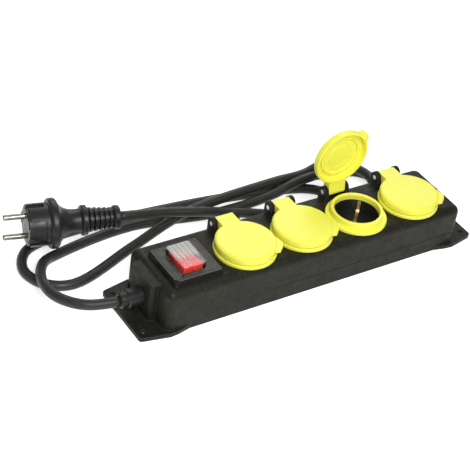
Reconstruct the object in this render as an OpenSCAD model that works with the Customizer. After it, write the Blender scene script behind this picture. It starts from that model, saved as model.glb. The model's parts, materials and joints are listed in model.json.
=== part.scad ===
// Outdoor four-way mains socket strip with a switch, on its own rubber cord and plug.
// X runs along the strip from the cord end to the far end, +Y points to the lid hinges, +Z is up.
// The origin is under the middle of the strip, on the surface that it lies on.

/* [Body] */
// Distance between neighbouring sockets
socket_pitch = 57.6; // [57:0.2:75]
// Distance from the cord end of the body to the first socket
switch_bay = 88.4; // [86:0.2:110]
// Distance from the last socket to the far end of the body
end_margin = 41.8; // [36:0.2:60]
// Width of the body
body_w = 68; // [66:0.5:84]
// Height of the top face above the surface
body_h = 41.5; // [41:0.5:52]
// Height of the seam between tray and cover
seam_h = 14.8; // [14:0.2:18]
// Wall thickness of tray and cover
wall = 2.4; // [2:0.1:3]
// Radius of the upright body corners
corner_r = 7.2; // [7.2:0.2:12]
// Radius of the shoulder round the top face
shoulder_r = 7; // [4:0.5:7]

/* [Mounting ears] */
// Length of the ear at the cord end, beyond the body
ear_len = 22.5; // [20:0.5:32]
// Length of the ear at the far end, beyond the body
far_ear_len = 20.5; // [18:0.5:32]
// Thickness of an ear
ear_t = 3.8; // [3:0.1:6]
// How far an ear swells past the side of the body
ear_swell = 3.4; // [1:0.1:6]
// Diameter of the mounting holes
ear_hole_d = 4.5; // [3.5:0.1:6]
// Distance of the mounting holes from the ear's tip
ear_hole_inset = 6.7; // [6:0.1:10]
// Distance between the two mounting holes of one ear
ear_hole_gap = 51; // [36:0.5:54]

/* [Sockets] */
// Bore of a socket well
well_d = 39.5; // [39.5:0.1:41]
// Depth of a socket well below the collar's rim
well_depth = 17.5; // [17:0.1:20]
// Distance between the two pin holes
pin_gap = 19; // [18.5:0.1:19.5]
// Diameter of a pin hole
pin_hole_d = 5.4; // [5:0.1:6]
// Height of a collar's rim above the top face
collar_h = 9; // [8:0.1:11]
// Diameter of a collar's flange
collar_flange_d = 54.4; // [53:0.1:56]
// Diameter of a collar's neck
collar_neck_d = 46.8; // [45.5:0.1:48]
// Distance of the socket centres in front of the body's middle
socket_front = 6.5; // [4:0.1:7]

/* [Lids] */
// Diameter of a lid
lid_d = 53; // [52.5:0.1:56]
// Height of a lid's skirt and top together
lid_h = 7.1; // [6.5:0.1:9]
// Distance from a lid's middle to its hinge axis
hinge_reach = 34.8; // [34:0.1:38]
// Diameter of a hinge pin
hinge_pin_d = 4; // [3:0.1:4.5]
// How far a lid opens
open_angle = 88; // [88:1:94]

/* [Switch] */
// Distance from the cord end of the body to the switch
switch_inset = 32.4; // [32:0.1:44]
// Width of the rocker
rocker_w = 18; // [16:0.1:19]
// Length of the rocker
rocker_l = 25.2; // [22:0.1:26]
// Angle between the rocker's two rest positions
rocker_throw = 16; // [10:1:18]
// Height of the clear boot above the top face
boot_h = 10.5; // [10:0.1:13]
// Height of the bezel above the top face
bezel_h = 5.2; // [5:0.1:7]

/* [Cord] */
// Outer diameter of the cord
cord_d = 9; // [8:0.1:10.4]
// Height of the cord's outlet above the surface
outlet_h = 19.2; // [18:0.1:22]
// Length of the strain relief outside the cord outlet
relief_len = 19.5; // [16:0.5:40]

/* [Plug] */
// Diameter of the plug's body
plug_d = 37; // [36:0.1:38]
// Diameter of the plug's sealing flange
plug_flange_d = 43.6; // [42:0.1:48]
// Diameter of a plug pin
plug_pin_d = 4.8; // [4.7:0.1:4.8]
// Free length of a plug pin
plug_pin_len = 19; // [18.5:0.1:19.5]
// Distance between the plug pins
plug_pin_gap = 19; // [18.5:0.1:19.5]

/* [Hidden] */

$fn = 64;
eps = 0.01;

// Colours
black_plastic = [0.2, 0.2, 0.19];
dark_plastic = [0.13, 0.13, 0.13];
rubber = [0.17, 0.17, 0.16];
lid_yellow = [0.98, 0.92, 0.16];
signal_red = [0.82, 0.12, 0.1];
clear = [0.85, 0.87, 0.88, 0.5];
steel = [0.75, 0.75, 0.74];
brass = [0.78, 0.66, 0.36];

// Body
body_len = switch_bay + 3 * socket_pitch + end_margin;
strip_len = body_len + ear_len + far_ear_len;
end_x = strip_len / 2 - ear_len;
far_x = strip_len / 2 - far_ear_len;
body_mid = (far_x - end_x) / 2;
seam_gap = 0.4;
tray_top = seam_h - seam_gap / 2;
cover_foot = seam_h + seam_gap / 2;
tray_floor = 2.5;
cover_roof = body_h - wall;
groove_in = 0.7;
groove_w = 1.1;
groove_deep = 1.2;
gasket_play = 0.05;

// Cover screws
screw_d = 3;
screw_clear_d = 3.4;
screw_pilot_d = 3.1;
screw_head_d = 5.6;
screw_head_h = 1.8;
screw_seat = 4;
screw_end = 24;
post_d = 7.4;
screw_x = [-end_x + 10, (socket_x(1) + socket_x(2)) / 2, far_x - 10];
screw_y = body_w / 2 - wall - post_d / 2 - 2.9;

// Sockets
fit = 0.15;
rim_h = body_h + collar_h;
well_floor = rim_h - well_depth;
insert_floor_t = 2.4;
insert_d = well_d + 3.1;
insert_rim = rim_h - 5.5;
collar_bore_d = well_d + 0.9;
cover_hole_d = insert_d + 3.8;
collar_flange_t = 2.9;
insert_flange_d = 50;
insert_flange_t = 2;
insert_leg = [8, 2.4];
pin_off = pin_gap / 2 * sqrt(0.5);
clip_w = 3;
clip_t = 0.8;

// Rails
rail_t = 0.8;
rail_w = 5;
rail_z = 12.6;
earth_rail_z = 8;
sleeve_od = 6.6;
sleeve_id = plug_pin_d + 0.1;
sleeve_top = well_floor - insert_floor_t - 0.2;
rail_start = socket_x(0) - 30;
rail_end = socket_x(3) + pin_off + 4;
support_x = [rail_start + 6, for (i = [0:2]) (socket_x(i) + socket_x(i + 1)) / 2, rail_end - 3];

// Lids
lid_top = rim_h + 1.9;
lid_foot = lid_top - lid_h;
lid_skin = 1.5;
lid_bore_d = collar_neck_d + 2;
hinge_y = hinge_reach - socket_front;
hinge_z = rim_h - 2.7;
knuckle_r = 4.4;
lug_w = 17.4;
ear_gap = 0.3;
hinge_ear_t = 3.6;
hinge_ear_r = 5.2;
hinge_play = 0.05;
web_t = 0.8;
lug_swing_r = 4.95;

// Switch
switch_x = -end_x + switch_inset;
switch_y = -3;
bezel_y = -3.8;
bezel_base = [46, 46.4];
bezel_top = [43, 43.6];
side_play = 0.3;
housing_in = [rocker_w + 2 * side_play, rocker_l + 2.2];
housing_out = [housing_in[0] + 3, housing_in[1] + 2.2];
housing_flange = [housing_out[0] + 3, housing_out[1] + 3];
housing_flange_t = 1.8;
housing_floor = body_h - 19;
boot_t = 1;
boot_out = [rocker_w + 3.6, rocker_l + 4.6];
boot_flange_t = 1;
pivot_z = body_h;
pivot_d = 3;
rocker_end_h = 6.8;
rocker_mid_h = 5.5;
blade = [6.3, 0.8];
blade_y = [-9, 0, 9];
blade_foot = housing_floor - 8;

// Cord outlet
block_x = -end_x - 6;
block_w = 35;
block_y = 0.8;
block_h = body_h - 1.7;
bushing_d = 16;
bushing_flange_d = 21;
bushing_end = block_x - relief_len;
clamp_x = -end_x + 13;
clamp_len = 8;
clamp_w = 30;
clamp_screw_y = 10.5;
sheath_end = clamp_x + 6;
core_d = 2.6;

// Plug. The place is that of the middle of its face, and the axis points out along the pins.
plug_pos = [-208.4, 106.3, 30.2];
plug_az = 166;
plug_roll = 8.3;
plug_tail = 81;
flange_from = 18.6;
flange_to = 27;
plug_recess = 1.3;
plug_insert_d = 31;
plug_dir = [cos(plug_az), sin(plug_az), 0];

// Route of the cord's middle, from the outlet to the plug's tail
lie = 4.7;
cord_route = [
    [-176, 0, 19.2], [-203, 8, 18.8], [-218, 28, 17], [-219, 51, 15.4], [-206, 76, 11.4],
    [-184, 88.5, 6.1], [-110, 99, lie], [-28, 85, 5.5], [28, 84, 9], [56, 86, 14], [79, 88.5, 14],
    [103, 94, 5.6], [130, 88, lie], [141, 68, lie], [134, 49, lie], [115, 41.5, lie], [98, 48, lie],
    [88, 65, lie], [72, 83, lie], [22, 97, lie], [-81, 110, lie], [-178, 112, lie], [-209, 103, lie],
    [-221, 81, lie], [-213, 59, lie], [-191, 49, lie], [-122, 72, 5.8], [-62, 87, 13.6],
    [38, 95, 14.2], [74, 99, 10.4], [100, 99.5, 15], [120, 88, 14.6], [128, 68, 14], [120, 51, 14],
    [98, 43, 13.8], [50, 51, 5.2], [-16, 75, 9], [-52, 78, 18.6], [-84, 84, 23], [-129.8, 86.7, 30.2]
];
ring_sides = 10;

function socket_x(i) = -end_x + switch_bay + i * socket_pitch;

// ---------- Shared shapes ----------

// Rectangle with round corners, about the origin
module round_rect(w, d, r) {
    square([w - 2 * r, d], center = true);
    square([w, d - 2 * r], center = true);
    for (x = [-1, 1], y = [-1, 1])
        translate([x * (w / 2 - r), y * (d / 2 - r)]) circle(r);
}

// Upright block with round corners in plan
module round_block(w, d, h, r) {
    linear_extrude(h) round_rect(w, d, r);
}

// Half outline of a block's edge, from the corner's axis outwards
module edge_outline(r_plan, h, r_top) {
    square([r_plan, h - r_top]);
    square([r_plan - r_top, h]);
    translate([r_plan - r_top, h - r_top])
        intersection() {
            circle(r_top);
            square(r_top + 1);
        }
}

// Section of a block whose two top edges are round
module round_section(w, h, r) {
    translate([-w / 2, 0]) square([w, h - r]);
    translate([-w / 2 + r, 0]) square([w - 2 * r, h]);
    for (x = [-1, 1])
        translate([x * (w / 2 - r), h - r]) circle(r);
}

// Block with round upright corners and a round shoulder all round its top
module shoulder_block(w, d, h, r_plan, r_top) {
    rotate([90, 0, 90])
        linear_extrude(w - 2 * r_plan, center = true) round_section(d, h, r_top);
    rotate([90, 0, 0])
        linear_extrude(d - 2 * r_plan, center = true) round_section(w, h, r_top);
    for (q = [[1, 1, 0], [-1, 1, 90], [-1, -1, 180], [1, -1, 270]])
        translate([q[0] * (w / 2 - r_plan), q[1] * (d / 2 - r_plan), 0])
            rotate([0, 0, q[2]])
                rotate_extrude(angle = 90) edge_outline(r_plan, h, r_top);
}

// Cylinder along X, from x0 to x1
module x_rod(x0, x1, d, y = 0, z = 0) {
    translate([x0, y, z]) rotate([0, 90, 0]) cylinder(h = x1 - x0, d = d);
}

// Tube through a list of points, closed at both ends. Its rings of corners turn with the path and don't twist.
function unit(v) = v / norm(v);
function heading(p, i, from, to) =
    i == 0 ? from : i == len(p) - 1 ? to : unit(p[i + 1] - p[i - 1]);
function carried(side, dir) = unit(side - dir * (side * dir));
function ring_starts(p, i, side, from, to) =
    i == len(p) ? []
    : let (s = carried(side, heading(p, i, from, to))) concat([s], ring_starts(p, i + 1, s, from, to));
function ring(c, dir, side, r, m) =
    [for (k = [0:m - 1]) c + r * (cos(360 * k / m) * side + sin(360 * k / m) * cross(dir, side))];
module tube(p, d, m, from, to) {
    n = len(p);
    starts = ring_starts(p, 0, [0.3, 1, 0.2], from, to);
    points = [for (i = [0:n - 1]) each ring(p[i], heading(p, i, from, to), starts[i], d / 2, m)];
    sides = [for (i = [0:n - 2], k = [0:m - 1])
        let (a = i * m + k, b = i * m + (k + 1) % m)
        each [[a, b + m, b], [a, a + m, b + m]]];
    ends = concat(
        [for (k = [1:m - 2]) [0, k, k + 1]],
        [for (k = [1:m - 2]) [(n - 1) * m, (n - 1) * m + k + 1, (n - 1) * m + k]]
    );
    polyhedron(points = points, faces = concat(sides, ends));
}

// Round conductor with eased corners through a list of points
function eased(p, i, t) =
    let (a = p[max(i - 1, 0)], b = p[i], c = p[i + 1], d = p[min(i + 2, len(p) - 1)],
         m1 = (c - a) * (i == 0 ? 1 : 0.5), m2 = (d - b) * (i == len(p) - 2 ? 1 : 0.5))
    (2 * t * t * t - 3 * t * t + 1) * b + (t * t * t - 2 * t * t + t) * m1
    + (3 * t * t - 2 * t * t * t) * c + (t * t * t - t * t) * m2;
module wire_run(path, d, from, to) {
    tube(concat([for (i = [0:len(path) - 2], t = [0:0.25:0.75]) eased(path, i, t)], [path[len(path) - 1]]),
         d, 8, from, to);
}

// Outline of a bent strip of thickness t along a list of 2-D points
function turn_normal(a) = [-a[1], a[0]] / norm(a);
function strip_offset(p, i, t) =
    let (n = len(p) - 1,
         before = turn_normal(i > 0 ? p[i] - p[i - 1] : p[1] - p[0]),
         after = turn_normal(i < n ? p[i + 1] - p[i] : p[n] - p[n - 1]),
         middle = (before + after) / norm(before + after))
    p[i] + middle * t / (middle * after);
module strip(p, t) {
    polygon(concat(
        [for (i = [0:len(p) - 1]) strip_offset(p, i, t / 2)],
        [for (i = [len(p) - 1:-1:0]) strip_offset(p, i, -t / 2)]
    ));
}

// ---------- Body ----------

// Plan of one mounting ear on a body that ends at x, with its soft swell beside the body
module ear_plan(x) {
    half = body_w / 2;
    tip = strip_len / 2;
    swell_x = x - 8;
    offset(r = -9) offset(r = 9 + 3) offset(delta = -3)
        polygon([
            [x - 45, 0], [x - 45, -half + 0.5], [x - 26, -half + 0.5],
            [swell_x - 4, -half - ear_swell + 0.8], [swell_x + 4, -half - ear_swell],
            [tip, -half + 1.6], [tip, half - 1.6], [swell_x + 4, half + ear_swell],
            [swell_x - 4, half + ear_swell - 0.8], [x - 26, half - 0.5], [x - 45, half - 0.5]
        ]);
}

// Post for a cover screw, in the tray
module tray_post() {
    cylinder(h = tray_top, d = post_d);
}

// Block round the cord outlet, from z0 to z1, with softened outer edges
module outlet_block(z0, z1) {
    bevel = 2;
    inner_x = -end_x + wall;
    translate([0, block_y, z0])
        linear_extrude(z1 - z0)
            polygon([
                [inner_x, -block_w / 2], [block_x + bevel, -block_w / 2],
                [block_x, -block_w / 2 + bevel], [block_x, block_w / 2 - bevel],
                [block_x + bevel, block_w / 2], [inner_x, block_w / 2]
            ]);
}

// Walls that carry the two pole rails on their shoulders and the earth rail in their notch
module rail_support() {
    w = 24;
    difference() {
        translate([-1, -w / 2, tray_floor - eps]) cube([2, w, rail_z - tray_floor + eps]);
        translate([-2, -3, earth_rail_z]) cube([4, 6, rail_z]);
    }
}

module base_tray() {
    color(black_plastic) difference() {
        union() {
            translate([body_mid, 0, 0]) difference() {
                round_block(body_len, body_w, tray_top, corner_r);
                translate([0, 0, tray_floor])
                    round_block(body_len - 2 * wall, body_w - 2 * wall, tray_top, corner_r - wall);
            }
            linear_extrude(ear_t) difference() {
                union() {
                    ear_plan(far_x);
                    mirror([1, 0]) ear_plan(end_x);
                }
                translate([body_mid, 0])
                    round_rect(body_len - 2 * wall, body_w - 2 * wall, corner_r - wall);
            }
            outlet_block(ear_t - eps, tray_top);
            for (x = screw_x, s = [-1, 1])
                translate([x, s * screw_y, 0]) tray_post();
            for (x = support_x)
                translate([x, -socket_front, 0]) rail_support();
            translate([clamp_x - clamp_len / 2, -clamp_w / 2, tray_floor - eps])
                cube([clamp_len, clamp_w, outlet_h - 0.3 - tray_floor]);
        }
        // Screw holes and the seats of the heads
        for (x = screw_x, s = [-1, 1])
            translate([x, s * screw_y, 0]) {
                translate([0, 0, -1]) cylinder(h = screw_seat + 1, d = screw_head_d + 0.6);
                cylinder(h = tray_top + 1, d = screw_clear_d);
            }
        // Mounting holes
        for (x = [-1, 1], y = [-1, 1])
            translate([x * (strip_len / 2 - ear_hole_inset), y * ear_hole_gap / 2, -1])
                cylinder(h = ear_t + 2, d = ear_hole_d);
        // Gasket groove
        translate([0, 0, tray_top - groove_deep])
            linear_extrude(groove_deep + 1) gasket_plan(groove_in, groove_w);
        // Cord outlet, bushing flange and saddle
        x_rod(block_x - 1, -end_x + wall + 1, bushing_d + 0.1, 0, outlet_h);
        x_rod(clamp_x - clamp_len, clamp_x + clamp_len, cord_d + 0.1, 0, outlet_h);
        for (s = [-1, 1])
            translate([clamp_x, s * clamp_screw_y, tray_floor + 2])
                cylinder(h = outlet_h, d = screw_pilot_d);
    }
}

// Plan of the gasket's ring, g inside the body's outline and t wide
module gasket_plan(g, t) {
    translate([body_mid, 0]) difference() {
        round_rect(body_len - 2 * g, body_w - 2 * g, corner_r - g);
        round_rect(body_len - 2 * (g + t), body_w - 2 * (g + t), corner_r - g - t);
    }
}

module seam_gasket() {
    color(dark_plastic) difference() {
        translate([0, 0, tray_top - groove_deep])
            linear_extrude(groove_deep + seam_gap)
                gasket_plan(groove_in + gasket_play, groove_w - 2 * gasket_play);
        x_rod(block_x - 1, -end_x + wall + 1, bushing_d + 0.2, 0, outlet_h);
    }
}

// One of the two ears that hold a lid's hinge pin
module hinge_ear() {
    foot = 6.8;
    translate([0, hinge_y, 0]) rotate([90, 0, 90]) linear_extrude(hinge_ear_t) {
        translate([0, hinge_z]) circle(hinge_ear_r);
        polygon([
            [-hinge_ear_r, hinge_z], [hinge_ear_r, hinge_z],
            [hinge_ear_r, body_h - shoulder_r], [-foot, body_h - shoulder_r], [-foot, body_h]
        ]);
    }
}

// Both ears of one lid, and the low web behind them that keeps dirt out of the hinge
module hinge_mount() {
    out = lug_w / 2 + ear_gap;
    translate([out, 0, 0]) hinge_ear();
    translate([-out - hinge_ear_t, 0, 0]) hinge_ear();
    translate([-out - 1, hinge_y + lug_swing_r, body_h - shoulder_r])
        cube([2 * out + 2, web_t, hinge_z - 1.3 - body_h + shoulder_r]);
}

module top_cover() {
    inner_h = cover_roof - cover_foot;
    color(black_plastic) difference() {
        union() {
            difference() {
                union() {
                    translate([body_mid, 0, cover_foot])
                        shoulder_block(body_len, body_w, body_h - cover_foot, corner_r, shoulder_r);
                    outlet_block(cover_foot, block_h);
                    for (i = [0:3])
                        translate([socket_x(i), 0, 0]) hinge_mount();
                }
                translate([body_mid, 0, cover_foot - eps])
                    shoulder_block(body_len - 2 * wall, body_w - 2 * wall, inner_h + eps,
                                   corner_r - wall, shoulder_r - wall);
            }
            for (x = screw_x, s = [-1, 1])
                translate([x, s * screw_y, cover_foot])
                    cylinder(h = cover_roof - cover_foot + 1, d = post_d);
        }
        for (i = [0:3])
            translate([socket_x(i), -socket_front, cover_roof - 1])
                cylinder(h = wall + 2, d = cover_hole_d);
        // Bores of the hinge pins
        for (i = [0:3])
            x_rod(socket_x(i) - 20, socket_x(i) + 20, hinge_pin_d + 2 * hinge_play, hinge_y, hinge_z);
        // Switch cut-out
        translate([switch_x, switch_y, cover_roof - 1])
            round_block(housing_out[0] + 0.4, housing_out[1] + 0.4, wall + 2, 1);
        // Pilot holes for the screws
        for (x = screw_x, s = [-1, 1])
            translate([x, s * screw_y, cover_foot - 1])
                cylinder(h = screw_end - cover_foot + 2, d = screw_pilot_d);
        // Cord outlet
        x_rod(block_x - 1, -end_x + wall + 1, bushing_d + 0.1, 0, outlet_h);
    }
}

// Screw standing head down, its head's underside at the origin
module pan_screw(length) {
    translate([0, 0, -screw_head_h]) {
        difference() {
            cylinder(h = screw_head_h, d = screw_head_d);
            for (a = [0, 90])
                rotate([0, 0, a]) translate([-1.6, -0.35, -eps]) cube([3.2, 0.7, 1]);
        }
    }
    cylinder(h = length, d = screw_d);
}

module cover_screws() {
    color(steel)
        for (x = screw_x, s = [-1, 1])
            translate([x, s * screw_y, screw_seat]) pan_screw(screw_end - screw_seat);
}

// ---------- Cord outlet ----------

module cord_bushing() {
    tip_d = 13;
    color(rubber) translate([0, 0, outlet_h]) rotate([0, 90, 0]) difference() {
        rotate_extrude() polygon([
            [0, bushing_end], [tip_d / 2 - 0.8, bushing_end], [tip_d / 2, bushing_end + 0.8],
            [tip_d / 2 + 0.3, bushing_end + 4.6], [bushing_d / 2 - 1.4, bushing_end + 5.2],
            [bushing_d / 2 - 1.4, bushing_end + 6.4], [bushing_d / 2, bushing_end + 7.2],
            [bushing_d / 2, -end_x + wall], [bushing_flange_d / 2, -end_x + wall],
            [bushing_flange_d / 2, -end_x + wall + 2.5], [0, -end_x + wall + 2.5]
        ]);
        translate([0, 0, bushing_end - 1])
            cylinder(h = relief_len + 30, d = cord_d + 0.1);
    }
}

module cord_sheath_end() {
    color(rubber) x_rod(bushing_end, sheath_end, cord_d, 0, outlet_h);
}

module cord_clamp() {
    bar_h = 8;
    color(dark_plastic) difference() {
        translate([clamp_x - clamp_len / 2 + 0.5, -clamp_w / 2 + 1, outlet_h])
            cube([clamp_len - 1, clamp_w - 2, bar_h]);
        x_rod(clamp_x - clamp_len, clamp_x + clamp_len, cord_d + 0.1, 0, outlet_h);
        for (s = [-1, 1])
            translate([clamp_x, s * clamp_screw_y, outlet_h - 1])
                cylinder(h = bar_h + 2, d = screw_clear_d);
    }
}

module clamp_screws() {
    color(steel)
        for (s = [-1, 1])
            translate([clamp_x, s * clamp_screw_y, outlet_h + 8])
                rotate([180, 0, 0]) pan_screw(17);
}

// ---------- Switch ----------

module switch_bezel() {
    lip = 2.2;
    color(black_plastic) translate([switch_x, 0, body_h]) difference() {
        hull() {
            translate([0, bezel_y, 0]) round_block(bezel_base[0], bezel_base[1], 0.8, 2, $fn = 32);
            translate([0, bezel_y, bezel_h - 0.5])
                linear_extrude(0.5) intersection() {
                    round_rect(bezel_top[0], bezel_top[1], 1, $fn = 32);
                    translate([3, 3]) rotate(45) square(64.5, center = true);
                }
        }
        translate([0, switch_y, -1])
            round_block(housing_flange[0] + 0.5, housing_flange[1] + 0.5,
                        housing_flange_t + boot_flange_t + 1.1, 1.5);
        translate([0, switch_y, 0])
            round_block(boot_out[0] + 0.6, boot_out[1] + 0.6, 20, 2.2);
        // Shallow step round the window
        translate([0, switch_y, bezel_h - 0.6])
            round_block(boot_out[0] + 4, boot_out[1] + 4, 5, 3);
    }
}

module switch_housing() {
    color(dark_plastic) translate([switch_x, switch_y, 0]) difference() {
        union() {
            translate([0, 0, housing_floor])
                round_block(housing_out[0], housing_out[1], body_h - housing_floor + eps, 0.8);
            translate([0, 0, body_h])
                round_block(housing_flange[0], housing_flange[1], housing_flange_t, 1.2);
        }
        translate([0, 0, housing_floor + 4])
            round_block(housing_in[0], housing_in[1], 40, 0.6);
        x_rod(-20, 20, pivot_d + 0.1, 0, pivot_z);
    }
}

module switch_terminals() {
    color(brass) translate([switch_x, switch_y, 0])
        for (y = blade_y)
            translate([-blade[0] / 2, y - blade[1] / 2, blade_foot])
                cube([blade[0], blade[1], housing_floor - blade_foot]);
}

// Rocker about its pivot, level
module rocker_shape() {
    half = rocker_l / 2;
    rotate([90, 0, 90]) linear_extrude(rocker_w, center = true) difference() {
        union() {
            intersection() {
                circle(half + 0.2);
                translate([-half, -20]) square([2 * half, 20]);
            }
            polygon([[-half, -eps], [half, -eps], [half, rocker_end_h],
                     [0, rocker_mid_h], [-half, rocker_end_h]]);
        }
        translate([-20, -30]) square([40, 21]);
    }
    x_rod(-rocker_w / 2 - 1.2, rocker_w / 2 + 1.2, pivot_d);
}

module switch_rocker() {
    color(signal_red)
        translate([switch_x, switch_y, pivot_z])
            rotate([-rocker_throw / 2, 0, 0]) rocker_shape();
}

module switch_boot() {
    foot = body_h + housing_flange_t;
    high = body_h + boot_h - foot;
    ribs = 5;
    color(clear) translate([switch_x, switch_y, foot]) {
        difference() {
            union() {
                round_block(boot_out[0], boot_out[1], high, 1.6);
                round_block(housing_flange[0], housing_flange[1], boot_flange_t, 1.2);
                for (i = [0:ribs - 1])
                    translate([(i - (ribs - 1) / 2) * 4, 0, high - eps])
                        rotate([90, 0, 0])
                            linear_extrude(boot_out[1] - 3, center = true)
                                polygon([[-1.3, 0], [1.3, 0], [0.5, 0.6], [-0.5, 0.6]]);
            }
            translate([0, 0, -1])
                round_block(boot_out[0] - 2 * boot_t, boot_out[1] - 2 * boot_t, high + 1 - boot_t, 0.8);
        }
    }
}

// ---------- Sockets ----------

module socket_collar(i) {
    flange_r = collar_flange_d / 2;
    neck_r = collar_neck_d / 2;
    bore_r = collar_bore_d / 2;
    edge = 1.1;
    spigot_r = cover_hole_d / 2 - fit;
    color(lid_yellow) translate([socket_x(i), -socket_front, 0]) rotate_extrude() difference() {
        union() {
            translate([insert_d / 2 + fit, cover_roof]) square([spigot_r - insert_d / 2 - fit, wall + 1]);
            translate([bore_r, body_h]) square([flange_r - bore_r - edge, collar_flange_t]);
            translate([bore_r, body_h]) square([flange_r - bore_r, collar_flange_t - edge]);
            translate([flange_r - edge, body_h + collar_flange_t - edge]) circle(edge);
            translate([bore_r, body_h]) square([neck_r - bore_r, collar_h - edge]);
            translate([bore_r + edge, body_h]) square([neck_r - bore_r - 2 * edge, collar_h]);
            for (r = [bore_r + edge, neck_r - edge])
                translate([r, rim_h - edge]) circle(edge);
        }
        // Seat of the insert's rim
        translate([0, 0]) square([insert_d / 2 + fit, insert_rim + 0.1]);
    }
}

module socket_insert(i) {
    flange_top = cover_roof;
    leg_r = insert_flange_d / 2 - insert_leg[1] - 0.4;
    color(dark_plastic) translate([socket_x(i), -socket_front, 0]) difference() {
        union() {
            translate([0, 0, well_floor - insert_floor_t])
                cylinder(h = insert_rim - well_floor + insert_floor_t, d = insert_d);
            translate([0, 0, flange_top - insert_flange_t])
                linear_extrude(insert_flange_t) intersection() {
                    circle(d = insert_flange_d);
                    translate([-30, shoulder_r - body_w / 2 + socket_front + 0.3]) square(60);
                }
            // Two feet that stand on the tray between the rails and the screw posts
            for (a = [50, 230])
                rotate([0, 0, a])
                    translate([-insert_leg[0] / 2, leg_r, tray_floor])
                        cube([insert_leg[0], insert_leg[1], flange_top - tray_floor - 1]);
        }
        difference() {
            translate([0, 0, well_floor]) cylinder(h = 40, d = well_d);
            // Guide ribs in line with the pins
            for (a = [135, 315])
                rotate([0, 0, a])
                    translate([well_d / 2 - 1.6, -2.5, well_floor - 1])
                        cube([5, 5, insert_rim - well_floor]);
        }
        for (a = [135, 315])
            rotate([0, 0, a])
                translate([pin_gap / 2, 0, well_floor - 10]) cylinder(h = 20, d = pin_hole_d);
        // Slots of the earth clip
        rotate([0, 0, 45]) {
            translate([-2.6, -0.8, well_floor - 10]) cube([5.2, 1.6, 20]);
            for (s = [-1, 1])
                translate([s * (well_d / 2 - 0.6) - 1.2, -2.6, well_floor]) cube([2.4, 5.2, 40]);
        }
    }
}

// Bent spring strip across the floor of the well, with a leg down to the earth rail
module earth_clip(i) {
    r = well_d / 2 - 0.1;
    z = well_floor + clip_t / 2 + 0.05;
    arm = [[r - 2.2, z], [r, z + 2.2], [r, z + 7], [r - 3, z + 9.6], [r + 0.1, z + 11.2]];
    back = [for (k = [len(arm) - 1:-1:0]) [-arm[k][0], arm[k][1]]];
    color(steel) translate([socket_x(i), -socket_front, 0]) rotate([0, 0, 45]) {
        rotate([90, 0, 0]) linear_extrude(clip_w, center = true) strip(concat(back, arm), clip_t);
        translate([-clip_w / 2, -clip_t / 2, earth_rail_z + rail_t])
            cube([clip_w, clip_t, well_floor - earth_rail_z - rail_t + 0.3]);
    }
}

// ---------- Lids ----------

// Lid at its closed place, about its own middle and with heights from the surface
module lid_shape() {
    r = lid_d / 2;
    edge = 2.6;
    foot_edge = 0.6;
    spigot_r = collar_bore_d / 2 - 0.7;
    spigot_t = 1.6;
    lug_front = 17;
    difference() {
        union() {
            rotate_extrude() union() {
                square_at(0, lid_foot + foot_edge, r, lid_top - edge);
                square_at(0, lid_foot, r - foot_edge, lid_top - edge);
                square_at(0, lid_foot, r - edge, lid_top);
                translate([r - edge, lid_top - edge]) circle(edge);
                translate([r - foot_edge, lid_foot + foot_edge]) circle(foot_edge);
            }
            // Lug round the hinge pin
            rotate([90, 0, 90]) linear_extrude(lug_w, center = true) {
                translate([hinge_reach, hinge_z]) circle(knuckle_r);
                polygon([
                    [lug_front, lid_foot + 2], [hinge_reach, hinge_z - knuckle_r],
                    [hinge_reach + 2.4, hinge_z], [hinge_reach + 2.4, lid_top - 1],
                    [hinge_reach + 1.4, lid_top], [lug_front, lid_top]
                ]);
            }
            // Thumb tab at the front corner
            translate([0, 0, lid_top - 4.2]) linear_extrude(3)
                offset(r = 1) offset(delta = -1)
                    polygon([[20, -3], [26.2, -6.5], [27.4, -14.4], [24.4, -19],
                             [20.4, -22.3], [17.2, -22], [12, -14]]);
        }
        // Room for the collar's neck
        translate([0, 0, lid_foot - 1]) difference() {
            cylinder(h = lid_h + 1 - lid_skin, d = lid_bore_d);
            translate([0, 0, lid_h - lid_skin - 0.9]) difference() {
                cylinder(h = 10, r = spigot_r);
                translate([0, 0, -1]) cylinder(h = 20, r = spigot_r - spigot_t);
            }
        }
        // Shallow ring pressed into the inner face
        translate([0, 0, lid_top - lid_skin - 0.1]) difference() {
            cylinder(h = 0.5, r = 12);
            translate([0, 0, -1]) cylinder(h = 3, r = 10.5);
        }
        translate([-20, hinge_reach, hinge_z]) rotate([0, 90, 0])
            cylinder(h = 40, d = hinge_pin_d + 2 * hinge_play);
    }
}

// Rectangle from one corner to the other
module square_at(x0, y0, x1, y1) {
    translate([x0, y0]) square([x1 - x0, y1 - y0]);
}

module lid(i, angle) {
    color(lid_yellow)
        translate([socket_x(i), hinge_y, hinge_z]) rotate([-angle, 0, 0])
            translate([0, -hinge_reach, -hinge_z]) lid_shape();
}

module hinge_pin(i) {
    half = lug_w / 2 + ear_gap + hinge_ear_t;
    color(steel) x_rod(socket_x(i) - half - 0.1, socket_x(i) + half - 0.4, hinge_pin_d, hinge_y, hinge_z);
}

// ---------- Conductors ----------

// Rail with one pair of sleeves per socket, at the sockets' side s of the middle line
module pole_rail(s) {
    y = -socket_front + s * pin_off;
    color(brass) {
        translate([rail_start, y - rail_w / 2, rail_z]) cube([rail_end - rail_start, rail_w, rail_t]);
        for (i = [0:3])
            translate([socket_x(i) - s * pin_off, y, rail_z + rail_t]) difference() {
                cylinder(h = sleeve_top - rail_z - rail_t, d = sleeve_od);
                translate([0, 0, 1]) cylinder(h = 40, d = sleeve_id);
                translate([-10, -0.5, 3]) cube([20, 1, 40]);
            }
    }
}

module live_rail() {
    pole_rail(1);
}

module neutral_rail() {
    pole_rail(-1);
}

module earth_rail() {
    color(brass)
        translate([rail_start, -socket_front - 2.6, earth_rail_z])
            cube([rail_end - rail_start, 5.2, rail_t]);
}

wire_gap = 0.2;
core_ring = 2;

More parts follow.
